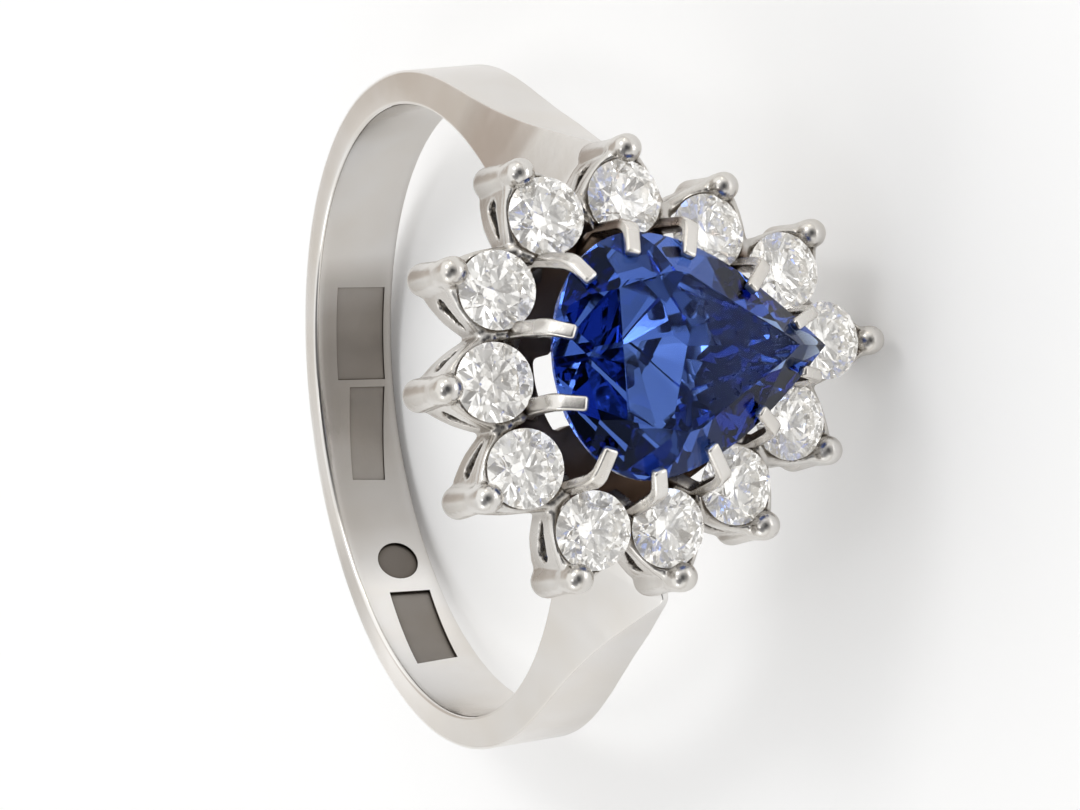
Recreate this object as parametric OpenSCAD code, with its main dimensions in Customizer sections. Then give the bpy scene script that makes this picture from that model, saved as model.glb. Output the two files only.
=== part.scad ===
/* [Band] */
// Inside diameter of the band
bore_d = 17; // [16.5:0.1:17.5]
// Thickness of the band round the back
band_t = 0.95; // [0.8:0.05:1.2]
// Width of the band round the back
band_w = 2.5; // [2.3:0.1:2.9]
// How far the shoulders flare outward before they reach the head
flare = 2.85; // [2.7:0.05:3]

/* [Halo] */
// Height of the small stones' girdles above the finger's axis
halo_h = 12.5; // [12.3:0.05:12.7]
// Diameter of the small round stones
stone_d = 1.95; // [1.8:0.01:1.98]
// Outward tilt of the small stones in degrees
stone_tilt = 5; // [3:1:7]
// How far the outer prongs stand from the middle of their stone
prong_out = 1.24; // [1.2:0.01:1.3]
// Radius of the outer prongs and of the rounded lobes below them
prong_r = 0.35; // [0.3:0.01:0.38]
// Height of the petals, from the girdle to the underside of the lobes
petal_h = 2.25; // [2.1:0.05:2.4]
// Thickness of the petals' walls
wall_t = 0.36; // [0.3:0.02:0.4]

/* [Centre stone] */
// Height of the centre stone's girdle above the small stones' girdles
rise = 1.4; // [1.35:0.05:1.5]
// Half width of the centre stone
pear_b = 3.0; // [2.95:0.01:3.02]
// Length from the widest line to the round end
pear_head = 2.35; // [2.3:0.01:2.38]
// Length from the widest line to the point
pear_tail = 4.9; // [4.8:0.05:4.95]
// Crown height of the centre stone
crown_h = 0.85; // [0.8:0.05:0.9]
// Pavilion depth of the centre stone
pav_h = 2.6; // [2.4:0.05:2.7]
// Turn of the centre stone's long axis in degrees
pear_turn = 3.3; // [3:0.1:3.6]

/* [Claws] */
// Thickness of the flat inner claws
claw_t = 0.30; // [0.24:0.02:0.32]

/* [Fit] */
// Air between a stone and the metal round it
gap = 0.03; // [0.02:0.01:0.04]

/* [Hidden] */
$fn = 48;

GOLD = [0.80, 0.78, 0.75];
BLUE = [0.06, 0.12, 0.55];
ICE = [0.92, 0.94, 0.96];

bore_r = bore_d / 2;
sap_h = halo_h + rise;

// The ring as worn is x = up through the head, y = across it, z = along the finger.
// It lies on its side: the lobe under the centre stone's point and the lower back
// edge of the band touch the surface.
lie = 13.85;
// Height of the finger's axis above the surface at the origin, once it lies
lift = 3.476;
// Shift that puts the middle of the whole outline over the origin
shift_x = -2.706;
shift_y = 0;

// Middles of the small stones, in order round the head.
// Columns: along the finger, across the head
STONES = [
    [2.55, 3.95], [0.40, 4.20], [-1.75, 3.15], [-3.70, 2.00],
    [-4.60, 0.15], [-3.30, -1.75], [-1.55, -3.15], [0.45, -3.95],
    [2.45, -3.75], [4.00, -2.05], [4.50, 0.10], [4.10, 2.30]];

// Inner claws, one in each gap between stone i and the next one.
// Columns: foot along the finger, foot across, tip along the finger, tip across,
// length of the part bent over the centre stone, width
CLAWS = [
    [ 1.05,  3.50,  1.35,  2.65, 0.80, 0.44], [-0.60,  3.45, -0.10,  2.45, 0.95, 0.42],
    [-2.60,  2.30, -1.65,  1.50, 0.95, 0.38], [-3.85,  0.95, -2.70,  0.50, 0.90, 0.34],
    [-3.65, -0.80, -2.75, -0.60, 0.70, 0.34], [-2.30, -2.15, -1.45, -1.40, 0.80, 0.38],
    [-0.65, -3.15,  0.00, -2.10, 0.95, 0.42], [ 1.20, -3.45,  1.45, -2.50, 0.65, 0.44],
    [ 2.90, -2.65,  2.60, -1.85, 0.75, 0.44], [ 3.60, -0.60,  3.05, -0.75, 0.60, 0.44],
    [ 3.80,  1.30,  3.10,  0.95, 0.55, 0.44], [ 2.85,  2.95,  2.50,  2.15, 0.60, 0.44]];

// Band and shoulders, by the angle from the middle of the head.
// Columns: angle, distance of the outer face from the bore at no flare,
// half width of the outer face, half width at the bore
BAND = [
    [0, 0.85, 0.70, 0.75],
    [9, 1.00, 0.66, 0.78],
    [12.5, 2.60, 0.50, 0.82],
    [16, 2.80, 0.40, 0.90],
    [20, 3.10, 0.28, 1.00],
    [24, 3.42, 0.16, 1.10],
    [28, 3.80, 0.08, 1.18],
    [34, 0, 0.46, 1.25],
    [42, 0, 0.70, 1.25],
    [50, 0, 0.86, 1.25],
    [58, 0, 0.96, 1.25],
    [70, 0, 1.06, 1.25],
    [84, 0, 1.18, 1.25],
    [105, 0, 1.25, 1.25],
    [180, 0, 1.25, 1.25]];
flare_from = 28;
flare_to = 70;

function column(t, c) = [for (r = t) [r[0], r[c]]];
TOP_W = column(BAND, 2);
BORE_W = column(BAND, 3);
UNDER = column(BAND, 1);
function wide(k) = band_w / 2.5 * k;
function outer(t) = bore_r + (t < flare_from ? lookup(t, UNDER)
    : band_t + flare * pow(max(0, (flare_to - t) / (flare_to - flare_from)), 2.9));
function from_head(t) = t > 180 ? 360 - t : t;

// One section of the band at angle t: bore edge and outer edge on each side
function section(t) = let (a = from_head(t), ro = outer(a), ri = bore_r - 0.25,
        wo = wide(lookup(a, TOP_W)), wb = wide(lookup(a, BORE_W)),
        wi = wb + (wb - wo) * 0.25 / (ro - bore_r))
    [[ri, -wi], [ro, -wo], [ro, wo], [ri, wi]];

BAND_STEPS = 90;
module band_solid() {
    pts = [for (i = [0 : BAND_STEPS - 1]) let (t = i * 360 / BAND_STEPS)
            for (p = section(t)) [p[0] * cos(t), p[0] * sin(t), p[1]]];
    quad = function (i, j) let (n = BAND_STEPS * 4, a = i * 4 + j, b = i * 4 + (j + 1) % 4,
            c = (a + 4) % n, d = (b + 4) % n) [[a, b, c], [b, d, c]];
    polyhedron(pts, [for (i = [0 : BAND_STEPS - 1]) for (j = [0 : 3]) each quad(i, j)]);
}

function next(i) = (i + 1) % 12;
function prev(i) = (i + 11) % 12;
function unit(v) = v / norm(v);
// Outward direction of stone i in the plane of the head: square to the line between its neighbours
function along(i) = unit(STONES[next(i)] - STONES[prev(i)]);
function outward(i) = let (d = along(i), s = [-d[1], d[0]]) s * STONES[i] > 0 ? s : -s;
// Prong of stone i, and the valley between stone i and the next
function prong(i) = STONES[i] + outward(i) * prong_out;
function valley(i) = (STONES[i] + STONES[next(i)]) / 2 + unit(outward(i) + outward(next(i))) * 0.06;

// Puts a point given along the finger and across the head, at a height, in the ring's frame
function put(h, p) = [h, p[1], p[0]];

// A plate standing on its edge between two plan points: x runs along it, y is up through the head
module plate(p, q, t) {
    d = q - p;
    translate(put(halo_h, p)) rotate([atan2(d[0], d[1]), 0, 0]) rotate([180, 0, 90])
        linear_extrude(t, center = true) children();
}

// One arm of a petal: a thick rail below the girdle, a thin rail below the window
module arm(p, q) {
    l = norm(q - p);
    foot = -petal_h + prong_r;
    plate(p, q, wall_t) difference() {
        polygon([[0, -0.10], [l, -0.14], [l + 0.02, -1.08], [l * 0.55, foot - 0.02], [0.12, foot - prong_r + 0.12], [0, foot - prong_r + 0.12]]);
        circle_at(0.72, -1.32, 0.27);
        polygon([[0.72, -1.05], [0.72, -1.59], [l - 0.36, -0.86]]);
    }
}
module circle_at(x, y, r) { translate([x, y]) circle(r, $fn = 32); }

// Rounded outer edge of a petal with the bead that holds its stone, turned in one piece
module lobe(i) {
    foot = -petal_h + prong_r;
    translate(put(halo_h, prong(i))) rotate([0, 90, 0]) rotate_extrude() intersection() {
        union() {
            circle_at(0, foot, prong_r);
            translate([0, foot]) square([prong_r, -foot]);
            circle_at(0, 0.08, prong_r + 0.02);
        }
        translate([0, -5]) square([2, 10]);
    }
}

// Outline of a flat strip of half thickness h along the points p
function square_to(v) = [-v[1], v[0]];
function strip(p, h) = let (n = len(p),
        s = [for (i = [0 : n - 2]) square_to(unit(p[i + 1] - p[i]))],
        m = [for (i = [0 : n - 1]) i == 0 ? s[0] : i == n - 1 ? s[n - 2] : (s[i - 1] + s[i]) / (1 + s[i - 1] * s[i])])
    concat([for (i = [0 : n - 1]) p[i] + h * m[i]], [for (i = [n - 1 : -1 : 0]) p[i] - h * m[i]]);

// Pear outline about its widest line, shrunk by s all round; the point is towards -x
PEAR_N = 1.8;
function pear(s, n = 14) = let (a = pear_head - s, b = pear_b - s, c = pear_tail - s * 1.25,
        half = concat([for (i = [0 : n]) [a * cos(90 * i / n), b * sin(90 * i / n)]],
            [for (i = [1 : n]) let (u = i / n) [-c * u, b * (1 - pow(u, PEAR_N))]]))
    concat(half, [for (i = [2 * n - 1 : -1 : 1]) [half[i][0], -half[i][1]]]);
PEAR_AT = [1.2, 0.25];
module in_pear() { translate(PEAR_AT) rotate(pear_turn) children(); }
// Stands a flat outline, drawn along the finger and across, at a height through the head
module stand(h) { translate([h, 0, 0]) rotate([0, 90, 0]) mirror([1, 0, 0]) children(); }

// Height of the top of the gallery wire that joins the claws under the centre stone
wire_top = halo_h - 1.05;
wire_h = 0.6;
module gallery_wire() {
    stand(wire_top - wire_h) linear_extrude(wire_h) difference() {
        in_pear() polygon(pear(0.15));
        in_pear() polygon(pear(0.65));
    }
}

// An inner claw, one flat strip: a stem from the gallery wire out to its valley, a riser to
// the girdle, and the bent tip; and the short web from the valley to the claw's foot
module claw(i) {
    c = CLAWS[i];
    foot = [c[0], c[1]];
    tip = [c[2], c[3]];
    run = norm(tip - foot);
    knee = run - c[4];
    plate(foot, tip, c[5]) polygon(strip([
        [0.75, wire_top - 0.4 - halo_h], [0, -0.35], [knee - 0.02, rise - 0.12],
        [knee + 0.10, rise + 0.20], [run, rise + 0.60]], claw_t / 2));
    plate(valley(i), foot, wall_t) translate([-0.1, -0.95]) square([norm(foot - valley(i)) + 0.2, 0.8]);
}

// Small stone standing on its own middle, its crown up
module seat() {
    r = stone_d / 2 + gap;
    d = stone_d;
    rotate_extrude($fn = 48) polygon([[0, -0.43 * d - gap], [r, -0.015 * d - gap],
        [r, 0.015 * d + gap], [0.56 * d / 2 + gap, 0.16 * d + gap], [0, 0.16 * d + gap]]);
}
module at_stone(i) {
    o = outward(i);
    translate(put(halo_h, STONES[i])) rotate([atan2(o[0], o[1]), 0, 0])
        rotate([0, 0, stone_tilt]) rotate([0, 90, 0]) children();
}

// Eight-fold brilliant of diameter d: table, star points, girdle, pavilion points and culet
module brilliant(d) {
    r = d / 2;
    ring = function (rad, z, n, turn) [for (k = [0 : n - 1]) [rad * r * cos(360 / n * k + turn), rad * r * sin(360 / n * k + turn), z * d]];
    hull() polyhedron_of(concat(
        ring(0.56, 0.160, 8, 22.5), ring(0.775, 0.113, 8, 0), ring(1, 0.015, 16, 0), ring(1, -0.015, 16, 0),
        ring(0.22, -0.345, 8, 22.5), [[0, 0, -0.43 * d]]));
}
// Any solid whose corners are the points given, for hull()
module polyhedron_of(p) { polyhedron(p, [for (k = [1 : len(p) - 2]) [0, k, k + 1]]); }

// Table, crown break, girdle, pavilion break and culet of the centre stone, grown by g all round
module pear_cut(g = 0) {
    up = function (s, z, n) [for (p = pear(s - g, n)) [p[0], p[1], z + sign(z) * g]];
    in_pear() hull() polyhedron_of(concat(
        up(1.15, crown_h, 5), up(0.55, crown_h * 0.48, 5), up(0, 0.06, 10), up(0, -0.06, 10),
        up(1.55, -pav_h * 0.62, 5), [[-0.55, 0, -pav_h - g]]));
}

module lie_down() {
    translate([shift_x, shift_y, lift]) rotate([0, -lie, 0]) children();
}

module band_and_head() {
    color(GOLD) lie_down() difference() {
        union() {
            band_solid();
            gallery_wire();
            for (i = [0 : 11]) {
                lobe(i);
                arm(prong(i), valley(i));
                arm(prong(i), valley(prev(i)));
                claw(i);
                translate(put(halo_h - 1.2, valley(i))) rotate([0, 90, 0]) cylinder(h = 1.0, r = 0.24, $fn = 24);
            }
        }
        cylinder(h = 20, r = bore_r, center = true, $fn = 128);
        for (i = [0 : 11]) at_stone(i) seat();
        stand(sap_h) pear_cut(gap);
    }
}
module centre_stone() { color(BLUE) lie_down() stand(sap_h) pear_cut(); }
module halo_stone(i) { color(ICE) lie_down() at_stone(i) brilliant(stone_d); }

band_and_head();
centre_stone();
halo_stone(0);  // halo_stone_01
halo_stone(1);  // halo_stone_02
halo_stone(2);  // halo_stone_03
halo_stone(3);  // halo_stone_04
halo_stone(4);  // halo_stone_05
halo_stone(5);  // halo_stone_06
halo_stone(6);  // halo_stone_07
halo_stone(7);  // halo_stone_08
halo_stone(8);  // halo_stone_09
halo_stone(9);  // halo_stone_10
halo_stone(10);  // halo_stone_11
halo_stone(11);  // halo_stone_12
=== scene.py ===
import math
import random
import bpy
import bmesh
import numpy as np
from mathutils import Matrix, Vector


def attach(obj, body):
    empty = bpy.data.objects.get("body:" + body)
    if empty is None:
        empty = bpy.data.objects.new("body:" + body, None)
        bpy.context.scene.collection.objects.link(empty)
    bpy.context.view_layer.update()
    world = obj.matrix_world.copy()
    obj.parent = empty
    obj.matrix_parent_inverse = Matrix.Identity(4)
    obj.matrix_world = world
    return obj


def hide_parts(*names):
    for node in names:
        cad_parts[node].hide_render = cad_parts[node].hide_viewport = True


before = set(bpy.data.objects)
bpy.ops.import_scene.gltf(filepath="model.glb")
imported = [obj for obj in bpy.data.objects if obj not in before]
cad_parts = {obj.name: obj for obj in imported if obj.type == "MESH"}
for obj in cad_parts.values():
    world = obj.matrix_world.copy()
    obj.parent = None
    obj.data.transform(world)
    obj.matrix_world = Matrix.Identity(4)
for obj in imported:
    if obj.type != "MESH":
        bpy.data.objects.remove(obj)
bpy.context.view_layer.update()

rng = random.Random(7)
scene = bpy.context.scene

# ---------------------------------------------------------------------------------------------
# Named sizes in millimetres, in the ring's own frame: height through the head (h), across (t)
# and along the finger (a)
BORE_R, BAND_T, FLARE = 8.5, 0.95, 2.85
HALO_H, STONE_D, STONE_TILT = 12.5, 1.95, 5.0
PRONG_OUT, PRONG_R, PETAL_H, WALL_T = 1.24, 0.35, 2.25, 0.36
RISE, PEAR_B, PEAR_HEAD, PEAR_TAIL = 1.4, 3.0, 2.35, 4.9
CROWN_H, PAV_H, PEAR_TURN, PEAR_AT = 0.85, 2.6, 3.3, (1.2, 0.25)
CLAW_T, GAP = 0.30, 0.03
WIRE_TOP, WIRE_H = HALO_H - 1.05, 0.6
SAP_H = HALO_H + RISE
LIE = math.radians(13.85)
SHIFT = np.array([-2.706, 0.0, 3.476])

# Small stones: along the finger, across the head
STONES = np.array([
    [2.55, 3.95], [0.40, 4.20], [-1.75, 3.15], [-3.70, 2.00],
    [-4.60, 0.15], [-3.30, -1.75], [-1.55, -3.15], [0.45, -3.95],
    [2.45, -3.75], [4.00, -2.05], [4.50, 0.10], [4.10, 2.30]])
# Inner claws: foot along, foot across, tip along, tip across, bent length, width
CLAWS = [
    [1.05, 3.50, 1.35, 2.65, 0.80, 0.44], [-0.60, 3.45, -0.10, 2.45, 0.95, 0.42],
    [-2.60, 2.30, -1.65, 1.50, 0.95, 0.38], [-3.85, 0.95, -2.70, 0.50, 0.90, 0.34],
    [-3.65, -0.80, -2.75, -0.60, 0.70, 0.34], [-2.30, -2.15, -1.45, -1.40, 0.80, 0.38],
    [-0.65, -3.15, 0.00, -2.10, 0.95, 0.42], [1.20, -3.45, 1.45, -2.50, 0.65, 0.44],
    [2.90, -2.65, 2.60, -1.85, 0.75, 0.44], [3.60, -0.60, 3.05, -0.75, 0.60, 0.44],
    [3.80, 1.30, 3.10, 0.95, 0.55, 0.44], [2.85, 2.95, 2.50, 2.15, 0.60, 0.44]]
# Band: angle from the head, distance of the outer face from the bore, half width outside, half width at the bore
BAND = np.array([
    [0, 0.85, 0.70, 0.75], [9, 1.00, 0.66, 0.78], [12.5, 2.60, 0.50, 0.82], [16, 2.80, 0.40, 0.90],
    [20, 3.10, 0.28, 1.00], [24, 3.42, 0.16, 1.10], [28, 3.80, 0.08, 1.18], [34, 0, 0.46, 1.25],
    [42, 0, 0.70, 1.25], [50, 0, 0.86, 1.25], [58, 0, 0.96, 1.25], [70, 0, 1.06, 1.25],
    [84, 0, 1.18, 1.25], [105, 0, 1.25, 1.25], [180, 0, 1.25, 1.25]])


def to_row(p):
    """Points (h, t, a) in millimetres to the row frame in metres."""
    p = np.asarray(p, float)
    c, s = math.cos(LIE), math.sin(LIE)
    q = np.stack([p[..., 0] * c - p[..., 2] * s, p[..., 1], p[..., 0] * s + p[..., 2] * c], -1)
    return (q + SHIFT) * 0.001


def link(name, verts, faces):
    me = bpy.data.meshes.new(name)
    me.from_pydata([tuple(map(float, v)) for v in verts], [], [tuple(map(int, f)) for f in faces])
    me.update()
    ob = bpy.data.objects.new(name, me)
    scene.collection.objects.link(ob)
    return ob


def drop(ob):
    me = ob.data
    bpy.data.objects.remove(ob)
    if me is not None and me.users == 0:
        bpy.data.meshes.remove(me)


def applied(ob):
    """Replaces an object's mesh by the mesh its modifiers make."""
    bpy.context.view_layer.update()
    dg = bpy.context.evaluated_depsgraph_get()
    me = bpy.data.meshes.new_from_object(ob.evaluated_get(dg))
    ob.modifiers.clear()
    old = ob.data
    ob.data = me
    if old.users == 0:
        bpy.data.meshes.remove(old)
    return ob


def outward_normals(ob):
    bm = bmesh.new()
    bm.from_mesh(ob.data)
    bmesh.ops.recalc_face_normals(bm, faces=bm.faces)
    bm.to_mesh(ob.data)
    bm.free()
    return ob


class Soup:
    """Closed shells gathered into one mesh."""

    def __init__(self):
        self.v, self.f, self.n = [], [], 0

    def add(self, verts, faces):
        verts = np.asarray(verts, float)
        self.v.append(verts)
        self.f += [tuple(i + self.n for i in f) for f in faces]
        self.n += len(verts)

    def object(self, name):
        return outward_normals(link(name, np.vstack(self.v), self.f))


def prism(poly, place, t):
    """A flat outline (x, y) pulled to thickness t, each corner put in space by place(x, y, w)."""
    n = len(poly)
    v = [place(x, y, -t / 2) for x, y in poly] + [place(x, y, t / 2) for x, y in poly]
    f = [tuple(range(n - 1, -1, -1)), tuple(range(n, 2 * n))]
    f += [(i, (i + 1) % n, n + (i + 1) % n, n + i) for i in range(n)]
    return v, f


def loft(rings, closed=False):
    """Rings of equal length joined with quads; ends capped unless closed."""
    m, n = len(rings), len(rings[0])
    v = np.vstack(rings)
    f = []
    for i in range(m if closed else m - 1):
        for j in range(n):
            a, b = i * n + j, i * n + (j + 1) % n
            c, d = ((i + 1) % m) * n + (j + 1) % n, ((i + 1) % m) * n + j
            f.append((a, b, c, d))
    if not closed:
        f += [tuple(range(n - 1, -1, -1)), tuple(range((m - 1) * n, m * n))]
    return v, f


def ball(c, r, squash=1.0, nu=24, nv=14):
    """A ball flattened along the height by squash."""
    v = [(c[0] + r * squash, c[1], c[2])]
    for i in range(1, nv):
        p = math.pi * i / nv
        for j in range(nu):
            q = 2 * math.pi * j / nu
            v.append((c[0] + r * squash * math.cos(p), c[1] + r * math.sin(p) * math.cos(q), c[2] + r * math.sin(p) * math.sin(q)))
    v.append((c[0] - r * squash, c[1], c[2]))
    last = len(v) - 1
    f = [(0, 1 + j, 1 + (j + 1) % nu) for j in range(nu)]
    for i in range(nv - 2):
        for j in range(nu):
            a, b = 1 + i * nu + j, 1 + i * nu + (j + 1) % nu
            f.append((a, a + nu, b + nu, b))
    f += [(last, 1 + (nv - 2) * nu + (j + 1) % nu, 1 + (nv - 2) * nu + j) for j in range(nu)]
    return v, f


def turned(profile, c, n=32):
    """A profile (height, radius) turned about the height through (t, a); first and last radius are 0."""
    v = [(profile[0][0], c[0], c[1])]
    for h, r in profile[1:-1]:
        for j in range(n):
            q = 2 * math.pi * j / n
            v.append((h, c[0] + r * math.cos(q), c[1] + r * math.sin(q)))
    v.append((profile[-1][0], c[0], c[1]))
    m, last = len(profile) - 2, len(v) - 1
    f = [(0, 1 + j, 1 + (j + 1) % n) for j in range(n)]
    for i in range(m - 1):
        for j in range(n):
            a, b = 1 + i * n + j, 1 + i * n + (j + 1) % n
            f.append((a, a + n, b + n, b))
    f += [(last, 1 + (m - 1) * n + (j + 1) % n, 1 + (m - 1) * n + j) for j in range(n)]
    return v, f


# ---------------------------------------------------------------------------------------------
# Layout of the head, as in the part's source
def unit(v):
    return v / np.linalg.norm(v)


def outward(i):
    d = unit(STONES[(i + 1) % 12] - STONES[(i + 11) % 12])
    s = np.array([-d[1], d[0]])
    return s if s @ STONES[i] > 0 else -s


def prong(i):
    return STONES[i] + outward(i) * PRONG_OUT


def valley(i):
    j = (i + 1) % 12
    return (STONES[i] + STONES[j]) / 2 + unit(outward(i) + outward(j)) * 0.06


def plate_frame(p, q):
    """Placer for an upright plate from plan point p towards q: x along it, y up from the small stones' girdles."""
    d = unit(np.asarray(q, float) - np.asarray(p, float))
    e = np.array([-d[1], d[0]])

    def place(x, y, w):
        g = p + d * x + e * w
        return (HALO_H + y, g[1], g[0])
    return place


def arc(cx, cy, r, a0, a1, n):
    return [(cx + r * math.cos(math.radians(a0 + (a1 - a0) * k / n)), cy + r * math.sin(math.radians(a0 + (a1 - a0) * k / n))) for k in range(n + 1)]


FOOT = -PETAL_H + PRONG_R


def tube(path, radii, n=12):
    path = np.array(path)
    m = len(path)
    rings = []
    for k in range(m):
        d = unit(path[min(k + 1, m - 1)] - path[max(k - 1, 0)])
        u = unit(np.cross(d, (1.0, 0.31, 0.17)))
        w = np.cross(d, u)
        rings.append(np.array([path[k] + radii[k] * (u * math.cos(2 * math.pi * j / n) + w * math.sin(2 * math.pi * j / n)) for j in range(n)]))
    return loft(rings)


def petal_shells():
    """Lobes, bowed arms with a rail along each edge, and valley posts as closed shells, with the window and seat cutters."""
    metal, windows, seats = Soup(), Soup(), Soup()
    ss = np.linspace(0, 1, 11)
    for i in range(12):
        p = prong(i)
        r, b = PRONG_R, PRONG_R + 0.025
        w = r + 0.08
        prof = [(HALO_H + FOOT - r, 0)] + [(HALO_H + FOOT + 0.10 - (r + 0.10) * math.cos(x), w * math.sin(x)) for x in np.linspace(0.15, math.pi / 2, 9)]
        prof += [(HALO_H - 1.0, r + 0.02), (HALO_H - 0.60, r), (HALO_H - 0.20, b), (HALO_H + 0.06, b)]
        prof += [(HALO_H + 0.06 + b * math.sin(x), b * math.cos(x)) for x in np.linspace(0.2, math.pi / 2 - 0.15, 8)] + [(HALO_H + 0.06 + b, 0)]
        metal.add(*turned(prof, (p[1], p[0])))
        for q in (valley(i), valley((i + 11) % 12)):
            l = np.linalg.norm(q - p)
            d = (q - p) / l
            e = np.array([-d[1], d[0]])
            if ((p + q) / 2 - STONES[i]) @ e < 0:
                e = -e
            k = (p + q) / 2 + e * 0.22
            plan = [(1 - x) ** 2 * p + 2 * x * (1 - x) * k + x * x * q for x in ss]
            top = -0.22 - 0.14 * ss
            low = np.interp(ss, [0, 0.3, 0.6, 0.85, 1], [-1.90, -1.82, -1.58, -1.22, -0.98])
            metal.add(*tube([(HALO_H + y, g[1], g[0]) for y, g in zip(top, plan)], 0.235 - 0.055 * ss))
            metal.add(*tube([(HALO_H + y, g[1], g[0]) for y, g in zip(low, plan)], 0.20 - 0.03 * ss))
            rings = []
            for x, y0, y1, g, in zip(ss, low, top, plan):
                w = e * 0.15
                rings.append(np.array([(HALO_H + y0, *(g - w)[::-1]), (HALO_H + y0, *(g + w)[::-1]), (HALO_H + y1, *(g + w)[::-1]), (HALO_H + y1, *(g - w)[::-1])]))
            metal.add(*loft(rings))
            tear = arc(0.74, -1.16, 0.22, 100, 285, 10) + [(l - 0.36, -0.86), (l - 0.40, -0.74)]
            windows.add(*prism(tear, plate_frame(p, q), 0.62))
        c = valley(i)
        metal.add(*turned([(HALO_H - 1.25, 0), (HALO_H - 1.22, 0.16), (HALO_H - 1.1, 0.23), (HALO_H - 0.35, 0.24), (HALO_H - 0.18, 0.22), (HALO_H - 0.08, 0.14), (HALO_H - 0.05, 0)], (c[1], c[0]), 20))
        foot = np.array(CLAWS[i][:2])
        far = np.linalg.norm(foot - c)
        metal.add(*prism([(-0.1, -0.95), (far + 0.1, -0.95), (far + 0.1, -0.16), (-0.1, -0.16)], plate_frame(c, foot), WALL_T))
        # small bead of metal on the web, between the stones
        g = c + unit(foot - c) * min(0.42, far * 0.6)
        metal.add(*ball((HALO_H - 0.14, g[1], g[0]), 0.21, 0.9, 16, 10))
        rr, d = STONE_D / 2 + GAP, STONE_D
        seat = [(-0.43 * d - GAP, 0), (-0.015 * d - GAP, rr), (0.015 * d + GAP, rr), (0.16 * d + GAP, 0.56 * d / 2 + GAP), (0.16 * d + GAP + 0.3, 0.56 * d / 2 + GAP), (0.16 * d + GAP + 0.3, 0)]
        v, f = turned([(z, q) for z, q in seat], (0, 0), 48)
        seats.add(at_stone(i, np.array(v)[:, [1, 2, 0]]), f)
    return metal, windows, seats


def at_stone(i, local):
    """Points (x, y, z) about a small stone, z up through its table, to the ring's frame."""
    local = np.asarray(local, float)
    o = outward(i)
    t = math.radians(STONE_TILT)
    side = np.array([-o[1], o[0]])
    # local x points outward, y sideways, z up: tilted outward by t
    up = np.array([math.cos(t), 0.0, 0.0])
    out3 = np.array([0.0, o[1], o[0]])
    side3 = np.array([0.0, side[1], side[0]])
    ez = up + math.sin(t) * out3
    ex = math.cos(t) * out3 - np.array([math.sin(t), 0, 0])
    c = np.array([HALO_H, STONES[i][1], STONES[i][0]])
    return c + local[:, :1] * ex + local[:, 1:2] * side3 + local[:, 2:3] * ez


# ---------------------------------------------------------------------------------------------
# Metal
def voxel(ob, size, smooth=0, factor=0.5):
    m = ob.modifiers.new("r", "REMESH")
    m.mode, m.voxel_size, m.adaptivity = "VOXEL", size, 0.0
    if smooth:
        s = ob.modifiers.new("s", "SMOOTH")
        s.factor, s.iterations = factor, smooth
    return applied(ob)


def cut(ob, other, solver="MANIFOLD"):
    m = ob.modifiers.new("c", "BOOLEAN")
    m.operation, m.object, m.solver = "DIFFERENCE", other, solver
    applied(ob)
    drop(other)
    return ob


def fillet(corners, radii, n=4):
    """Outline with each corner rounded."""
    out, m = [], len(corners)
    for i in range(m):
        p, a, b = np.array(corners[i]), np.array(corners[i - 1]), np.array(corners[(i + 1) % m])
        u, w = unit(a - p), unit(b - p)
        ang = math.acos(max(-0.999, min(0.999, float(u @ w))))
        r = min(radii[i], 0.42 * min(np.linalg.norm(a - p), np.linalg.norm(b - p)) * math.tan(ang / 2))
        d = r / math.tan(ang / 2)
        c = p + unit(u + w) * (r / math.sin(ang / 2))
        s, e = p + u * d - c, p + w * d - c
        for k in range(n + 1):
            x = unit(s * (1 - k / n) + e * (k / n))
            out.append(c + x * r)
    return out


def column(a, c):
    return float(np.interp(a, BAND[:, 0], BAND[:, c]))


def outer_radius(a):
    if a < 28:
        return BORE_R + column(a, 1)
    return BORE_R + BAND_T + FLARE * max(0.0, (70 - a) / 42) ** 2.9


def plane_through(pts):
    m = np.array([[1, p[0], p[1]] for p in pts])
    return np.linalg.solve(m, np.array([p[2] for p in pts]))


FLAT_TO = 38.0


def polar(rho, a):
    return rho * math.cos(math.radians(a)), rho * math.sin(math.radians(a))


FLAT = plane_through([
    (*polar(outer_radius(28), 28), 0.07), (*polar(outer_radius(FLAT_TO), FLAT_TO), column(FLAT_TO, 2)),
    (*polar(BORE_R, FLAT_TO), 1.25)])


def half_width(a, rho, plain):
    """Half width of the band at an angle and radius: one flat facet beside the head, a turned face beyond it."""
    if 12.5 < a < FLAT_TO:
        h, t = polar(rho, a)
        return float(np.clip(FLAT @ np.array([1, h, t]), 0.05, 1.25))
    return plain


def bore_dark_and_highlight(t):
    """Brightness of the bore's wall at an angle in degrees: darker behind, most at about 150–190°, and a painted
    highlight, brighter than the bare metal, at about 214–240°.
    """
    return float(np.interp(t % 360, [0, 90, 110, 130, 143, 149, 156, 164, 174, 188, 200, 207, 214, 225, 240, 270, 360],
                           [0.9, 1.0, 1.02, 0.90, 0.82, 0.54, 0.39, 0.35, 0.40, 0.56, 0.66, 0.86, 1.26, 1.32, 1.20, 1.0, 0.9]))


# Painted light and shade on the turned side of the band that faces up: angle, brightness, how brown; the brown is
# painted shade
SIDE_PAINTED_LIGHT = np.array([
    [0, 0.88, 0], [12, 0.82, 0], [36, 0.82, 0], [40, 0.80, 0.6], [44, 0.80, 1], [50, 0.82, 1], [54, 0.91, 0.5],
    [58, 1.08, 0], [70, 1.14, 0], [95, 1.10, 0], [115, 1.05, 0], [150, 1.0, 0], [198, 0.97, 0], [206, 0.80, 0],
    [212, 0.82, 0], [218, 0.92, 0], [226, 1.18, 0], [232, 1.28, 0], [240, 1.22, 0], [250, 1.12, 0], [262, 1.02, 0],
    [320, 1.0, 0], [326, 0.95, 0], [350, 0.95, 0], [360, 0.90, 0]])


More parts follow.
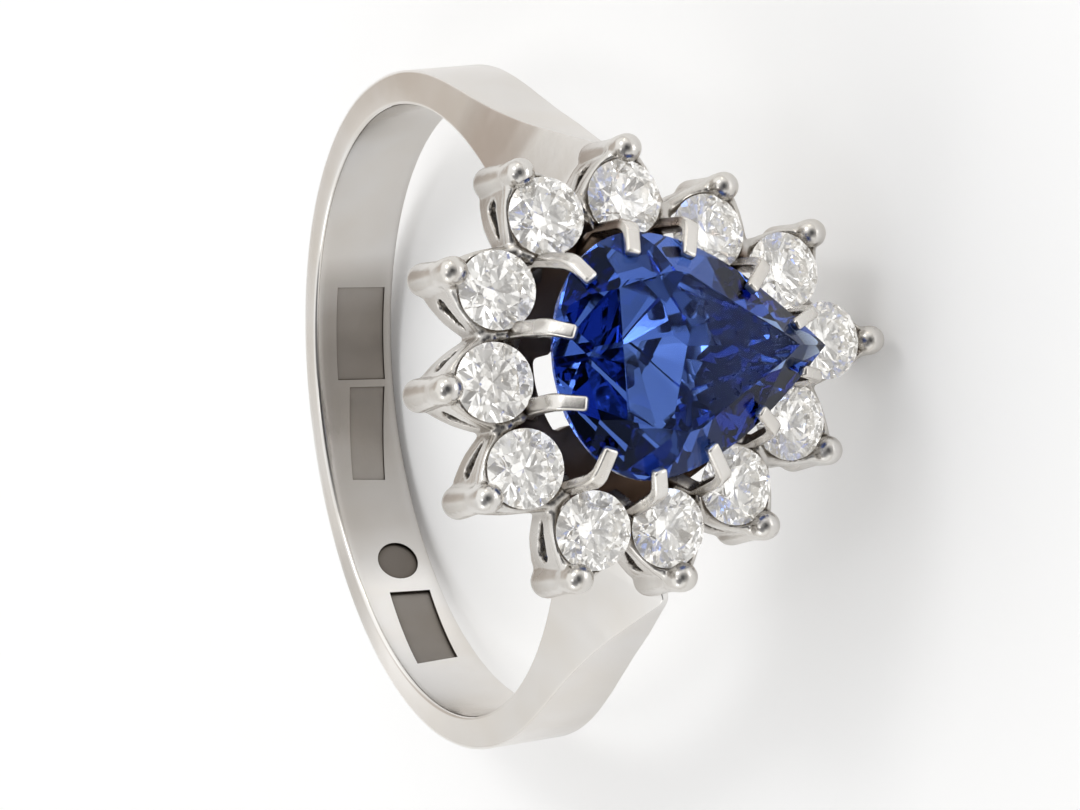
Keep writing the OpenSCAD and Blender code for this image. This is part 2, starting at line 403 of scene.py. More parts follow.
def give_tone(ob, value):
    """Colour multiplier on each face corner: value(angle, radius, along, recessed) is (brightness, how brown)."""
    me = ob.data
    at = me.attributes.new("tone", "FLOAT_COLOR", "CORNER")
    out = np.ones((len(me.loops), 4))
    for p in me.polygons:
        for k in p.loop_indices:
            h, t, a = me.vertices[me.loops[k].vertex_index].co
            x, brown = value(math.degrees(math.atan2(t, h)) % 360, math.hypot(h, t), a, p.material_index > 0)
            out[k, :3] = (x, x ** (1.06 + 0.26 * brown), x ** (1.12 + 0.43 * brown)) if x < 1 else (x, x, x)
    at.data.foreach_set("color", out.ravel())


def band_tone(t, rho, a, recessed):
    # painted shade in the recesses: the two near 150–190° at 0.84 of the bore's darkening, the round punch and the
    # third much darker, darkest at their walls
    if recessed:
        if t < 200:
            return 0.84 * bore_dark_and_highlight(t), 0
        return (0.19 if t < 212.8 else 0.31) * (1.25 if rho > BORE_R + 0.06 else 0.8), 0
    near = min(t, 360 - t)
    # the bore's darkening and painted highlight fade out along both rims
    rims = float(np.interp(a, [-1.25, -1.1, -0.9, 0.8, 1.0, 1.15, 1.25], [0.45, 0.3, 0.03, 0.0, 0.08, 0.45, 0.8]))
    wall = 1.0 + (bore_dark_and_highlight(t) - 1.0) * (1.0 - rims)
    inner = float(np.clip((BORE_R + 0.10 - rho) / 0.09, 0, 1))
    flank = float(np.clip((outer_radius(near) - rho) / 0.04, 0, 1)) if a > 0 else 0.0
    side = 1.0 + (float(np.interp(t, SIDE_PAINTED_LIGHT[:, 0], SIDE_PAINTED_LIGHT[:, 1])) - 1.0) * flank
    brown = float(np.interp(t, SIDE_PAINTED_LIGHT[:, 0], SIDE_PAINTED_LIGHT[:, 2])) * flank * (1 - inner)
    # painted shade under the head: the band's outer faces near the head are much darker, most strongly where along is
    # above -0.3
    under_head_shade = 0.10 if a > -0.3 else 0.5
    head = under_head_shade + (1 - under_head_shade) * float(np.clip((near - 11) / 6, 0, 1)) if rho > BORE_R + 0.3 else 1.0
    return head * (wall * inner + side * (1.0 - inner)), brown


def wire_painted_shade(t, rho, a, recessed):
    """Painted shade: dark toward the stone above, full brightness below."""
    return float(np.interp(rho, [WIRE_TOP - WIRE_H + 0.1, WIRE_TOP - 0.05], [1.0, 0.12])), 0.5


def claw_painted_shade(t, rho, a, recessed):
    """Painted shade down a claw's leg on the shaded side of the stone; full brightness at the tip."""
    if not 6.0 < t < 90.0 or a > 2.3:
        return 1.0, 0
    h = rho * math.cos(math.radians(t))
    span = [SAP_H - 0.2, SAP_H + 0.12] if a > -1.2 else [HALO_H + 0.5, SAP_H - 0.2]
    return float(np.interp(h, span, [0.22, 1.0])), 0.5


def petal_tone(t, rho, a, recessed):
    """Painted shade on the webs between the small stones and the centre stone, on the shaded side, and darker towards
    the foot.
    """
    y, h = rho * math.sin(math.radians(t)), rho * math.cos(math.radians(t))
    foot = 1.0 - 0.26 * float(np.clip((HALO_H - 0.9 - h) / 0.9, 0, 1))
    shaded = float(np.clip((y - 0.9) / 0.5, 0, 1) * np.clip((2.2 - a) / 0.5, 0, 1))
    reach = math.hypot(a / 4.25, y / 3.72)
    return foot * (1.0 - 0.82 * shaded * float(np.clip((0.98 - reach) / 0.08, 0, 1))), 0.5 * shaded


def band_mesh():
    rings = []
    steps = 480
    for k in range(steps):
        t = 360.0 * k / steps
        a = 360 - t if t > 180 else t
        ro = outer_radius(a)
        wo = half_width(a, ro, column(a, 2))
        wb = half_width(a, BORE_R, column(a, 3))
        r_out = float(np.interp(a, [0, 30, 60, 95, 180], [0.05, 0.03, 0.06, 0.16, 0.22]))
        r_in = float(np.interp(a, [0, 60, 180], [0.08, 0.10, 0.13]))
        mid = (ro + BORE_R) / 2
        corners = [(BORE_R, -wb), (ro, -wo), (ro, wo), (BORE_R, wb)]
        sec = fillet(corners, [r_in, r_out, r_out, r_in], 4)
        first, last = np.array(sec[0]), np.array(sec[-1])
        sec = sec + [last + (first - last) * (k2 / 14) for k2 in range(1, 14)]
        ring = []
        for rho, w in sec:
            h, y = polar(rho, t)
            ring.append((h, y, w))
        rings.append(np.array(ring))
    v, f = loft(rings, closed=True)
    return outward_normals(link("band", v, f))


def curved_block(corners, r0, r1, nu=10, nv=6):
    """A block on the bore's wall between four (angle, along) corners."""
    c = [np.array(x, float) for x in corners]
    layers = []
    for r in (r0, r1):
        g = []
        for i in range(nu + 1):
            for j in range(nv + 1):
                u, w = i / nu, j / nv
                p = (c[0] * (1 - u) + c[3] * u) * (1 - w) + (c[1] * (1 - u) + c[2] * u) * w
                h, y = polar(r, p[0])
                g.append((h, y, p[1]))
        layers.append(g)
    n = (nu + 1) * (nv + 1)
    f = []
    ix = lambda i, j: i * (nv + 1) + j
    for i in range(nu):
        for j in range(nv):
            q = (ix(i, j), ix(i + 1, j), ix(i + 1, j + 1), ix(i, j + 1))
            f.append(q)
            f.append(tuple(n + x for x in reversed(q)))
    rim = [ix(i, 0) for i in range(nu + 1)] + [ix(nu, j) for j in range(1, nv + 1)] + [ix(i, nv) for i in range(nu - 1, -1, -1)] + [ix(0, j) for j in range(nv - 1, 0, -1)]
    for k in range(len(rim)):
        a, b = rim[k], rim[(k + 1) % len(rim)]
        f.append((a, n + a, n + b, b))
    return layers[0] + layers[1], f


def curved_disc(at, radius, r0, r1, n=32):
    layers = []
    for r in (r0, r1):
        g = []
        for j in range(n):
            q = 2 * math.pi * j / n
            a = at[0] + math.degrees(radius * math.cos(q) / BORE_R)
            h, y = polar(r, a)
            g.append((h, y, at[1] + radius * math.sin(q)))
        layers.append(np.array(g))
    return loft(layers)


def claw_shell(i):
    """One flat claw as a bent strip of rectangular section."""
    c = CLAWS[i]
    foot, tip = np.array(c[:2]), np.array(c[2:4])
    run = np.linalg.norm(tip - foot)
    knee = run - c[4]
    place = plate_frame(foot, tip)
    raw = [(0.62, WIRE_TOP - 0.30 - HALO_H), (0.0, -0.35), (knee - 0.02, RISE - 0.12), (knee + 0.10, RISE + 0.20), (run, RISE + 0.60)]
    path = []
    for k in range(len(raw)):
        p = np.array(raw[k])
        if k in (0, len(raw) - 1):
            path.append(p)
            continue
        a, b = np.array(raw[k - 1]), np.array(raw[k + 1])
        ra, rb = 0.4 * np.linalg.norm(a - p), 0.4 * np.linalg.norm(b - p)
        r = min(ra, rb, 0.22)
        s, e = p + unit(a - p) * r, p + unit(b - p) * r
        for u in np.linspace(0, 1, 5):
            path.append((1 - u) ** 2 * s + 2 * u * (1 - u) * p + u * u * e)
    path = np.array(path)
    n = len(path)
    rings = []
    for k in range(n):
        d = unit(path[min(k + 1, n - 1)] - path[max(k - 1, 0)])
        nrm = np.array([-d[1], d[0]])
        s = k / (n - 1)
        th = CLAW_T / 2 * (1.0 - 0.12 * max(0, s - 0.8) / 0.2)
        w = c[5] / 2 * (0.94 - 0.10 * max(0, s - 0.7) / 0.3)
        rings.append(np.array([place(*(path[k] + nrm * u * th), x * w) for u, x in ((-1, -1), (-1, 1), (1, 1), (1, -1))]))
    return loft(rings)


def pear(s=0.0, n=14):
    a, b, c = PEAR_HEAD - s, PEAR_B - s, PEAR_TAIL - s * 1.25
    half = [(a * math.cos(math.radians(90 * i / n)), b * math.sin(math.radians(90 * i / n))) for i in range(n + 1)]
    half += [(-c * i / n, b * (1 - (i / n) ** 1.8)) for i in range(1, n + 1)]
    return np.array(half + [(x, -y) for x, y in half[-2:0:-1]])


def in_pear(p, h):
    """Points (x, y) of the pear's plan at height h to the ring's frame."""
    p = np.atleast_2d(p)
    c, s = math.cos(math.radians(PEAR_TURN)), math.sin(math.radians(PEAR_TURN))
    a = PEAR_AT[0] + p[:, 0] * c - p[:, 1] * s
    t = PEAR_AT[1] + p[:, 0] * s + p[:, 1] * c
    return np.c_[np.full(len(p), 1.0) * h, t, a]


def gallery_shell():
    # widest inward but for the open part at the round end
    out, slim, wide = pear(-0.30, 28), pear(0.60, 28), pear(1.10, 28)
    k = np.clip(np.maximum(out[:, 1] - 0.35, -2.15 - out[:, 1]) / 0.25, 0, 1)
    k = np.where(out[:, 0] > 0.8, k, 1.0)[:, None]
    inn = slim * (1 - k) + wide * k
    under = np.clip((-0.4 - out[:, 1]) / 0.6, 0, 1)[:, None] * np.clip((2.0 - out[:, 0]) / 0.5, 0, 1)[:, None]
    out = out * (1 - under) + pear(-0.62, 28) * under
    lo, hi = WIRE_TOP - WIRE_H, WIRE_TOP
    rings = [np.array([in_pear(out[k], lo)[0], in_pear(out[k], hi)[0], in_pear(inn[k], hi)[0], in_pear(inn[k], lo)[0]]) for k in range(len(out))]
    return loft(rings, closed=True)


# Materials -----------------------------------------------------------------------------------
def nodes_of(mat):
    mat.use_nodes = True
    nt = mat.node_tree
    nt.nodes.clear()
    return nt


def node(nt, kind, **set_):
    n = nt.nodes.new(kind)
    for k, v in set_.items():
        if k.startswith("in_"):
            n.inputs[k[3:].replace("_", " ")].default_value = v
        else:
            setattr(n, k, v)
    return n


def metal_material(name, base, rough, wear=1.0, toned=False, shade_clear_at=0.72, shade_full_at=0.15, reach=0.0007):
    """Polished cast metal: faint polishing lines, small dents and a slow change of sheen."""
    mat = bpy.data.materials.new(name)
    nt = nodes_of(mat)
    L = nt.links
    out = node(nt, "ShaderNodeOutputMaterial")
    bs = node(nt, "ShaderNodeBsdfPrincipled")
    bs.inputs["Metallic"].default_value = 1.0
    tc = node(nt, "ShaderNodeTexCoord")
    mp = node(nt, "ShaderNodeMapping")
    mp.inputs["Scale"].default_value = (1000, 1000, 1000)
    L.new(tc.outputs["Object"], mp.inputs["Vector"])
    # slow change of roughness
    n1 = node(nt, "ShaderNodeTexNoise")
    n1.inputs["Scale"].default_value, n1.inputs["Detail"].default_value = 0.8, 4.0
    L.new(mp.outputs[0], n1.inputs["Vector"])
    r1 = node(nt, "ShaderNodeMapRange")
    r1.inputs["From Min"].default_value, r1.inputs["From Max"].default_value = 0.3, 0.7
    r1.inputs["To Min"].default_value, r1.inputs["To Max"].default_value = rough * 0.75, rough * 1.35
    L.new(n1.outputs["Fac"], r1.inputs["Value"])
    L.new(r1.outputs[0], bs.inputs["Roughness"])
    # colour
    n2 = node(nt, "ShaderNodeTexNoise")
    n2.inputs["Scale"].default_value, n2.inputs["Detail"].default_value = 0.45, 3.0
    L.new(mp.outputs[0], n2.inputs["Vector"])
    cr = node(nt, "ShaderNodeValToRGB")
    b = np.array(base)
    cr.color_ramp.elements[0].position, cr.color_ramp.elements[1].position = 0.35, 0.68
    cr.color_ramp.elements[0].color = (*(b * np.array([0.95, 0.93, 0.90])), 1)
    cr.color_ramp.elements[1].color = (*b, 1)
    L.new(n2.outputs["Fac"], cr.inputs[0])
    # painted shade gathered in the corners: darker where ambient occlusion finds surfaces close by
    ao = node(nt, "ShaderNodeAmbientOcclusion", samples=8)
    ao.inputs["Distance"].default_value = reach
    r2 = node(nt, "ShaderNodeMapRange")
    r2.inputs["From Min"].default_value, r2.inputs["From Max"].default_value = shade_full_at, shade_clear_at
    L.new(ao.outputs["AO"], r2.inputs["Value"])
    mx = node(nt, "ShaderNodeMix", data_type="RGBA")
    mx.inputs[6].default_value = (*(b * np.array([0.22, 0.19, 0.16])), 1)
    L.new(r2.outputs[0], mx.inputs[0])
    L.new(cr.outputs[0], mx.inputs[7])
    last = mx.outputs[2]
    if toned:
        # painted shade, painted highlights and some darker places, stored on the mesh
        at = node(nt, "ShaderNodeAttribute", attribute_name="tone")
        vm = node(nt, "ShaderNodeVectorMath", operation="MULTIPLY")
        L.new(last, vm.inputs[0])
        L.new(at.outputs["Color"], vm.inputs[1])
        last = vm.outputs[0]
    L.new(last, bs.inputs["Base Color"])
    bs.inputs["Specular Tint"].default_value = (0.95, 0.94, 0.93, 1)
    # polishing lines and small dents
    n3 = node(nt, "ShaderNodeTexNoise")
    n3.inputs["Scale"].default_value, n3.inputs["Detail"].default_value = 2.2, 5.0
    L.new(mp.outputs[0], n3.inputs["Vector"])
    mp2 = node(nt, "ShaderNodeMapping")
    mp2.inputs["Scale"].default_value = (1000 * 3, 1000 * 3, 1000 * 22)
    L.new(tc.outputs["Object"], mp2.inputs["Vector"])
    n4 = node(nt, "ShaderNodeTexNoise")
    n4.inputs["Scale"].default_value, n4.inputs["Detail"].default_value = 1.0, 3.0
    L.new(mp2.outputs[0], n4.inputs["Vector"])
    b1 = node(nt, "ShaderNodeBump")
    b1.inputs["Strength"].default_value, b1.inputs["Distance"].default_value = 0.10 * wear, 0.00004
    L.new(n3.outputs["Fac"], b1.inputs["Height"])
    b2 = node(nt, "ShaderNodeBump")
    b2.inputs["Strength"].default_value, b2.inputs["Distance"].default_value = 0.10 * wear, 0.000006
    L.new(n4.outputs["Fac"], b2.inputs["Height"])
    L.new(b1.outputs[0], b2.inputs["Normal"])
    L.new(b2.outputs[0], bs.inputs["Normal"])
    L.new(bs.outputs[0], out.inputs["Surface"])
    return mat


def gem_material(name, color, ior, absorb=None, density=0.0, shine=(1, 1, 1), painted_glow=0.0):
    """Clear cut stone: sharp refraction, with colour soaked up along the light's way through it."""
    mat = bpy.data.materials.new(name)
    nt = nodes_of(mat)
    L = nt.links
    out = node(nt, "ShaderNodeOutputMaterial")
    bs = node(nt, "ShaderNodeBsdfPrincipled")
    bs.inputs["Metallic"].default_value = 0.0
    bs.inputs["Roughness"].default_value = 0.0
    bs.inputs["IOR"].default_value = ior
    bs.inputs["Transmission Weight"].default_value = 1.0
    bs.inputs["Specular Tint"].default_value = (*shine, 1)
    # painted light: the stone gives off a faint warm light of its own, which brightens it
    if painted_glow:
        bs.inputs["Emission Color"].default_value = (1.0, 0.95, 0.86, 1)
        bs.inputs["Emission Strength"].default_value = painted_glow
    tc = node(nt, "ShaderNodeTexCoord")
    mp = node(nt, "ShaderNodeMapping")
    mp.inputs["Scale"].default_value = (1000, 1000, 1000)
    L.new(tc.outputs["Object"], mp.inputs["Vector"])
    n1 = node(nt, "ShaderNodeTexNoise")
    n1.inputs["Scale"].default_value, n1.inputs["Detail"].default_value = 0.5, 2.0
    L.new(mp.outputs[0], n1.inputs["Vector"])
    cr = node(nt, "ShaderNodeValToRGB")
    c = np.array(color)
    cr.color_ramp.elements[0].color = (*(c * 0.93), 1)
    cr.color_ramp.elements[1].color = (*c, 1)
    L.new(n1.outputs["Fac"], cr.inputs[0])
    L.new(cr.outputs[0], bs.inputs["Base Color"])
    L.new(bs.outputs[0], out.inputs["Surface"])
    if absorb is not None:
        va = node(nt, "ShaderNodeVolumeAbsorption")
        va.inputs["Color"].default_value = (*absorb, 1)
        va.inputs["Density"].default_value = density
        L.new(va.outputs[0], out.inputs["Volume"])
    return mat


# every metal below has painted shade in its corners; the recess metal's is held tight to the recess walls, and the
# wire's metal is a darker, shaded copy of the white gold
GOLD = metal_material("white_gold", (0.75, 0.735, 0.717), 0.16, toned=True)
GOLD_IN = metal_material("white_gold_recess", (0.74, 0.722, 0.70), 0.36, wear=2.5, toned=True, shade_clear_at=0.95, shade_full_at=0.42, reach=0.00022)
CLAW = metal_material("white_gold_claw", (0.76, 0.742, 0.715), 0.24, wear=3.5, shade_clear_at=0.95, shade_full_at=0.28, toned=True)
CAST = metal_material("white_gold_cast", (0.69, 0.676, 0.655), 0.22, wear=3.5, shade_clear_at=0.96, shade_full_at=0.32, toned=True)
SHADE = metal_material("white_gold_shade", (0.60, 0.57, 0.54), 0.40, wear=2.0, shade_clear_at=0.9, shade_full_at=0.2, toned=True)
# the small stones carry painted light: a faint warm glow of their own
DIAMOND = gem_material("diamond", (1.0, 1.0, 0.99), 2.417, painted_glow=0.05)
SAPPHIRE = gem_material("sapphire", (0.60, 0.735, 0.955), 1.768, (0.02, 0.265, 0.722), 335.0, shine=(0.10, 0.14, 0.32))


def finish_piece(ob, mats, replaces, angle=None):
    n = len(ob.data.vertices)
    co = np.zeros(n * 3)
    ob.data.vertices.foreach_get("co", co)
    ob.data.vertices.foreach_set("co", to_row(co.reshape(-1, 3)).ravel())
    ob.data.update()
    if mats:
        ob.data.materials.clear()
        for m in mats:
            ob.data.materials.append(m)
    if angle is None:
        ob.data.shade_flat()
    else:
        ob.data.shade_smooth()
        if angle < 180:
            ob.data.set_sharp_from_angle(angle=math.radians(angle))
    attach(ob, "root")
    if replaces:
        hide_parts(*replaces)
    return ob


# Band ----------------------------------------------------------------------------------------
band = band_mesh()
# unlettered punched recesses inside the band: corners as (angle, along the finger)
RECESSES = [
    [(150.0, 0.55), (151.0, -0.97), (170.4, -0.95), (169.5, 0.56)],
    [(171.2, 0.20), (171.9, -0.92), (190.9, -0.50), (190.0, 0.52)],
    [(215.6, 0.40), (216.4, -0.85), (236.0, -0.60), (236.2, 0.68)]]
cutter = Soup()
for corners in RECESSES:
    cutter.add(*curved_block(corners, BORE_R - 0.1, BORE_R + (0.045 if corners[0][0] < 200 else 0.09)))
cutter.add(*curved_disc((208.6, -0.21), 0.62, BORE_R - 0.1, BORE_R + 0.09))
cut_ob = cutter.object("cutter")
for m in (GOLD, GOLD_IN):
    band.data.materials.append(m)
    cut_ob.data.materials.append(m)
for p in cut_ob.data.polygons:
    p.material_index = 1
cut(band, cut_ob, "EXACT")
bm = bmesh.new()
bm.from_mesh(band.data)
bmesh.ops.remove_doubles(bm, verts=bm.verts, dist=3e-4)
bm.to_mesh(band.data)
bm.free()
give_tone(band, band_tone)
finish_piece(band, [], ["band_and_head"], 28)

# Petals, posts and webs ----------------------------------------------------------------------
metal, windows, seats = petal_shells()
petals = voxel(metal.object("petals"), 0.045)
cut(petals, voxel(windows.object("windows"), 0.045))
cut(petals, seats.object("seats"))
petals = voxel(petals, 0.056, smooth=4)
give_tone(petals, petal_tone)
finish_piece(petals, [CAST], ["band_and_head"], 180)

# Claws and the wire under the centre stone ------------------------------------------------------
claws = Soup()
for i in range(12):
    claws.add(*claw_shell(i))
claws = claws.object("claws")
m = claws.modifiers.new("b", "BEVEL")
m.width, m.segments, m.limit_method, m.angle_limit = 0.085, 4, "ANGLE", math.radians(50)
applied(claws)
give_tone(claws, claw_painted_shade)
finish_piece(claws, [CLAW], ["band_and_head"], 35)

wire = link("gallery_wire", *gallery_shell())
outward_normals(wire)
m = wire.modifiers.new("b", "BEVEL")
m.width, m.segments, m.limit_method, m.angle_limit = 0.08, 3, "ANGLE", math.radians(50)
applied(wire)
give_tone(wire, wire_painted_shade)
finish_piece(wire, [SHADE], ["band_and_head"], 35)


# Stones --------------------------------------------------------------------------------------
def carve(planes, size, name):
    """A convex stone left when a block is cut by planes (normal, distance)."""
    bm = bmesh.new()
    bmesh.ops.create_cube(bm, size=size)
    for n, d in planes:
        n = Vector(n).normalized()
        geom = bm.verts[:] + bm.edges[:] + bm.faces[:]
        r = bmesh.ops.bisect_plane(bm, geom=geom, dist=1e-6, plane_co=n * d, plane_no=n, clear_outer=True)
        edges = [e for e in r["geom_cut"] if isinstance(e, bmesh.types.BMEdge)]
        if len(edges) > 2:
            bmesh.ops.contextual_create(bm, geom=edges)
    bmesh.ops.remove_doubles(bm, verts=bm.verts, dist=2e-4)
    bmesh.ops.recalc_face_normals(bm, faces=bm.faces)
    me = bpy.data.meshes.new(name)
    bm.to_mesh(me)
    bm.free()
    ob = bpy.data.objects.new(name, me)
    scene.collection.objects.link(ob)
    return ob


def slanted(phi, alpha):
    """Normal that leans alpha from straight up, towards phi. Degrees."""
    p, a = math.radians(phi), math.radians(alpha)
    return np.array([math.sin(a) * math.cos(p), math.sin(a) * math.sin(p), math.cos(a)])


def brilliant(name, i):
    """A round stone of 57 facets, in its own frame with z up, radius 1 scaled to size."""
    g, crown, pav = 0.03, 34.0, 40.6
    zt = g + 0.44 * math.tan(math.radians(crown))
    planes = [((math.cos(math.radians(k * 360 / 40)), math.sin(math.radians(k * 360 / 40)), 0), 1.0) for k in range(40)]
    planes.append(((0, 0, 1), zt))
    for k in range(8):
        n = slanted(22.5 + 45 * k + rng.uniform(-0.6, 0.6), crown + rng.uniform(-0.35, 0.35))
        planes.append((n, math.hypot(n[0], n[1]) + n[2] * g))
        n = slanted(22.5 + 45 * k + rng.uniform(-0.6, 0.6), pav + rng.uniform(-0.25, 0.25))
        planes.append(((n[0], n[1], -n[2]), math.hypot(n[0], n[1]) + n[2] * g))
    for k in range(8):
        n = slanted(45 * k, 21.5)
        planes.append((n, math.hypot(n[0], n[1]) * 0.56 * math.cos(math.radians(22.5)) + n[2] * zt))
    for k in range(16):
        n = slanted(11.25 + 22.5 * k + rng.uniform(-0.4, 0.4), 41.0 + rng.uniform(-0.3, 0.3))
        planes.append((n, math.hypot(n[0], n[1]) * 0.981 + n[2] * g))
        n = slanted(11.25 + 22.5 * k + rng.uniform(-0.4, 0.4), 42.0 + rng.uniform(-0.2, 0.2))
        planes.append(((n[0], n[1], -n[2]), math.hypot(n[0], n[1]) * 0.981 + n[2] * g))
    ob = carve(planes, 6, name)
    co = np.array([v.co for v in ob.data.vertices]) * (STONE_D / 2)
    turn = math.radians(rng.uniform(0, 45))
    c, s = math.cos(turn), math.sin(turn)
    co = np.c_[co[:, 0] * c - co[:, 1] * s, co[:, 0] * s + co[:, 1] * c, co[:, 2]]
    co = at_stone(i, co)
    for v, p in zip(ob.data.vertices, co):
        v.co = p
    return ob


for i in range(12):
    ob = brilliant(f"small_stone_{i + 1:02d}", i)
    outward_normals(ob)
    finish_piece(ob, [DIAMOND], [f"halo_stone_{i + 1:02d}"])


# Centre stone's facets in degrees: direction, crown main's slope, pavilion main's added slope, all on one side of
# the long axis; then small differences in slope of the nine pavilion mains, as a hand-cut stone has them
PEAR_MAINS = [[0.0, 28.04, 1.54], [43.23, 39.05, -2.56], [80.52, 33.58, 1.87], [108.26, 40.0, 4.29], [121.81, 37.9, 1.29]]
PEAR_UNEVEN = [-0.22, -0.37, 0.05, -1.06, 0.62, -0.02, 2.85, -0.58, -2.60]
CULET, DEPTH, STAR, CROWN_HALF, PAV_HALF, HALF_AT = (-0.93, 0.23), 2.25, 17.7, 43.5, 5.0, 0.24


def pear_stone():
    """Pear brilliant: mains, halves and stars round the outline, with the culet off the middle."""
    outline = pear(0.0, 24)
    g, zt, culet = 0.06, CROWN_H, np.array(CULET)

    def support(phi):
        d = np.array([math.cos(math.radians(phi)), math.sin(math.radians(phi))])
        h = outline @ d
        return float(h.max()), d, outline[int(h.argmax())]
    planes = []
    n = len(outline)
    for k in range(n):
        e = outline[(k + 1) % n] - outline[k]
        d = unit(np.array([e[1], -e[0]]))
        if d @ outline[k] < 0:
            d = -d
        planes.append(((d[0], d[1], 0), float(d @ outline[k])))
    planes.append(((0, 0, 1), zt))
    mains = PEAR_MAINS + [[-p, c, w] for p, c, w in PEAR_MAINS[:0:-1]]
    feet = []
    for (phi, crown, more), uneven in zip(mains, PEAR_UNEVEN):
        h, d, s = support(phi)
        nn = slanted(phi, crown)
        planes.append((nn, math.hypot(nn[0], nn[1]) * h + nn[2] * g))
        feet.append(s - d * (zt - g) / math.tan(math.radians(crown)))
        slope = math.degrees(math.atan2(DEPTH - g, h - float(d @ culet))) + more + uneven
        nn = slanted(phi, slope)
        planes.append(((nn[0], nn[1], -nn[2]), math.hypot(nn[0], nn[1]) * h + nn[2] * g))
    m = len(mains)
    for k in range(m):
        j = (k + 1) % m
        p0, p1 = feet[k], feet[j]
        a0, a1 = mains[k][0], mains[j][0]
        if a1 - a0 > 180:
            a1 -= 360
        if a0 - a1 > 180:
            a1 += 360
        tip = abs(a1 - a0) > 60
        e = p1 - p0
        d = unit(np.array([e[1], -e[0]]))
        if d @ (p0 - culet) < 0:
            d = -d
        if not tip:
            nn = slanted(math.degrees(math.atan2(d[1], d[0])), STAR)
            planes.append((nn, math.hypot(nn[0], nn[1]) * float(d @ p0) + nn[2] * zt))
        for u in ((HALF_AT, 1 - HALF_AT) if not tip else (0.06, 0.94)):
            phi = a0 + (a1 - a0) * u
            h, d2, _ = support(phi)
            nn = slanted(phi, CROWN_HALF)
            planes.append((nn, math.hypot(nn[0], nn[1]) * (h - 0.012) + nn[2] * g))
            slope = math.degrees(math.atan2(DEPTH - g, h - float(d2 @ culet))) + PAV_HALF
            nn = slanted(phi, slope)
            planes.append(((nn[0], nn[1], -nn[2]), math.hypot(nn[0], nn[1]) * (h - 0.012) + nn[2] * g))
    ob = carve(planes, 14, "centre_stone_cut")
    co = np.array([v.co for v in ob.data.vertices])
    co = np.vstack([in_pear(p[:2], SAP_H + p[2]) for p in co])
    for v, p in zip(ob.data.vertices, co):
        v.co = p
    return outward_normals(ob)


sapphire = pear_stone()
finish_piece(sapphire, [SAPPHIRE], ["centre_stone"])

# Surface, light and camera -------------------------------------------------------------------
floor = link("floor", [(-1.5, -1.5, 0), (1.5, -1.5, 0), (1.5, 1.5, 0), (-1.5, 1.5, 0)], [(0, 1, 2, 3)])
fm = bpy.data.materials.new("surface")
nt = nodes_of(fm)
out = node(nt, "ShaderNodeOutputMaterial")
bs = node(nt, "ShaderNodeBsdfPrincipled")
bs.inputs["Roughness"].default_value = 0.6
tc = node(nt, "ShaderNodeTexCoord")
nz = node(nt, "ShaderNodeTexNoise")
nz.inputs["Scale"].default_value = 60.0
nt.links.new(tc.outputs["Object"], nz.inputs["Vector"])
cr = node(nt, "ShaderNodeValToRGB")
cr.color_ramp.elements[0].color = (0.90, 0.90, 0.90, 1)
cr.color_ramp.elements[1].color = (0.92, 0.92, 0.92, 1)
nt.links.new(nz.outputs["Fac"], cr.inputs[0])
nt.links.new(cr.outputs[0], bs.inputs["Base Color"])
bs.inputs["Emission Color"].default_value = (1.0, 1.0, 1.0, 1)
bs.inputs["Specular IOR Level"].default_value = 0.1
bs.inputs["Emission Strength"].default_value = 0.13
nt.links.new(bs.outputs[0], out.inputs["Surface"])
floor.data.materials.append(fm)


# Patches of the dome: direction, inner and outer half angle, colour, amount
PATCHES = [
    ((0.789, -0.027, 0.614), 22, 48, (0.14, 0.14, 0.14), 0.80),
    ((0.789, -0.027, 0.614), 14, 24, (0.05, 0.05, 0.055), 0.92),
    ((0.19, -0.43, 0.883), 14, 32, (0.10, 0.10, 0.11), 0.85),
    ((-0.90, 0.34, 0.30), 8, 22, (0.42, 0.355, 0.30), 0.70),
    ((-0.88, -0.24, 0.42), 6, 20, (0.70, 0.69, 0.68), 0.60)]


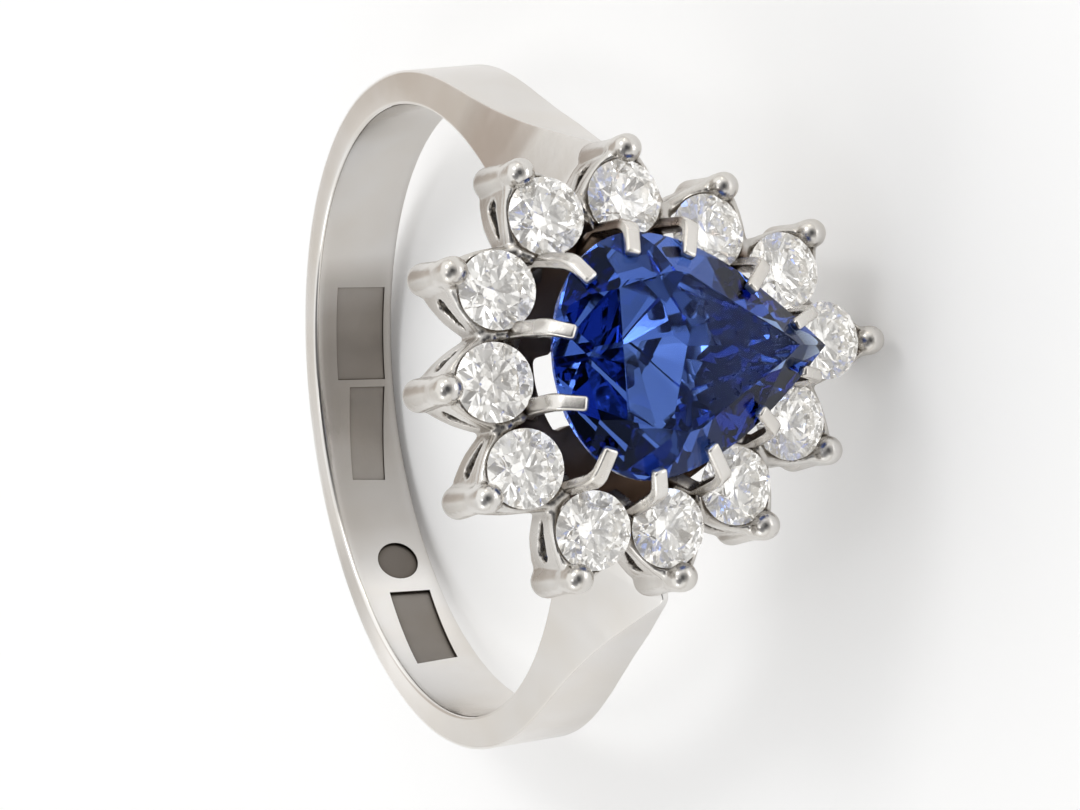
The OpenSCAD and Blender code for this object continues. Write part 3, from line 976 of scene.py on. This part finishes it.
def world_light():
    """Soft white dome with a few dim warm panels low down and a dim patch behind the camera."""
    w = bpy.data.worlds.new("studio")
    scene.world = w
    w.use_nodes = True
    nt = w.node_tree
    nt.nodes.clear()
    L = nt.links
    out = node(nt, "ShaderNodeOutputWorld")
    bg = node(nt, "ShaderNodeBackground")
    tc = node(nt, "ShaderNodeTexCoord")
    sep = node(nt, "ShaderNodeSeparateXYZ")
    L.new(tc.outputs["Generated"], sep.inputs[0])
    ramp = node(nt, "ShaderNodeValToRGB")
    el = ramp.color_ramp.elements
    el[0].position, el[0].color = 0.0, (0.72, 0.70, 0.68, 1)
    el[1].position, el[1].color = 1.0, (1.02, 1.02, 1.02, 1)
    e = el.new(0.12)
    e.color = (0.80, 0.785, 0.765, 1)
    e = el.new(0.45)
    e.color = (1.06, 1.06, 1.05, 1)
    L.new(sep.outputs["Z"], ramp.inputs[0])
    last = ramp.outputs[0]
    for d, a0, a1, col, amount in PATCHES:
        d = unit(np.array(d))
        dot = node(nt, "ShaderNodeVectorMath", operation="DOT_PRODUCT")
        dot.inputs[1].default_value = tuple(d)
        L.new(tc.outputs["Generated"], dot.inputs[0])
        mr = node(nt, "ShaderNodeMapRange", interpolation_type="SMOOTHSTEP")
        mr.inputs["From Min"].default_value = math.cos(math.radians(a1))
        mr.inputs["From Max"].default_value = math.cos(math.radians(a0))
        mr.inputs["To Min"].default_value, mr.inputs["To Max"].default_value = 0.0, amount
        L.new(dot.outputs["Value"], mr.inputs["Value"])
        mix = node(nt, "ShaderNodeMix", data_type="RGBA")
        L.new(mr.outputs[0], mix.inputs[0])
        L.new(last, mix.inputs[6])
        mix.inputs[7].default_value = (*col, 1)
        last = mix.outputs[2]
    L.new(last, bg.inputs["Color"])
    bg.inputs["Strength"].default_value = 1.12
    L.new(bg.outputs[0], out.inputs["Surface"])


world_light()


def area(name, at, size, power, color=(1, 1, 1), aim=(0, 0, 0.004)):
    la = bpy.data.lights.new(name, "AREA")
    la.shape, la.size, la.energy, la.color = "DISK", size, power, color
    ob = bpy.data.objects.new(name, la)
    scene.collection.objects.link(ob)
    ob.location = at
    ob.rotation_euler = (Vector(aim) - Vector(at)).to_track_quat("-Z", "Y").to_euler()
    return ob


area("key", (0.05, 0.30, 0.42), 0.16, 0.30)
area("fill", (-0.16, -0.38, 0.34), 0.16, 0.12)
area("top", (0.02, -0.05, 0.50), 0.10, 0.07)
area("warm", (0.10, 0.34, 0.14), 0.05, 0.03, (1.0, 0.88, 0.72))

# a lamp on the sheet in front of the ring, which the centre stone throws back
sl = bpy.data.lights.new("pool", "SPOT")
sl.energy, sl.spot_size, sl.spot_blend, sl.shadow_soft_size = 3.6, math.radians(11.0), 1.0, 0.004
pool = bpy.data.objects.new("pool", sl)
scene.collection.objects.link(pool)
pool.location = (0.035, 0.003, 0.12)

cam = bpy.data.cameras.new("camera")
cam.lens, cam.sensor_width, cam.clip_start, cam.clip_end = 113.078, 36.0, 0.002, 20.0
cam_ob = bpy.data.objects.new("camera", cam)
scene.collection.objects.link(cam_ob)
R, U, V = (0.60564, -0.13634, -0.78397), (0.10521, 0.99028, -0.09094), (0.78875, -0.0274, 0.6141)
cam_ob.matrix_world = Matrix([
    [R[0], U[0], V[0], 0.0731], [R[1], U[1], V[1], -0.002812], [R[2], U[2], V[2], 0.059973], [0, 0, 0, 1]])
scene.camera = cam_ob

scene.view_settings.view_transform = "Standard"
scene.view_settings.look = "None"
scene.view_settings.exposure = 0.0
scene.cycles.max_bounces = 24
scene.cycles.transmission_bounces = 24
scene.cycles.glossy_bounces = 8
scene.cycles.diffuse_bounces = 4
scene.cycles.sample_clamp_indirect = 6.0
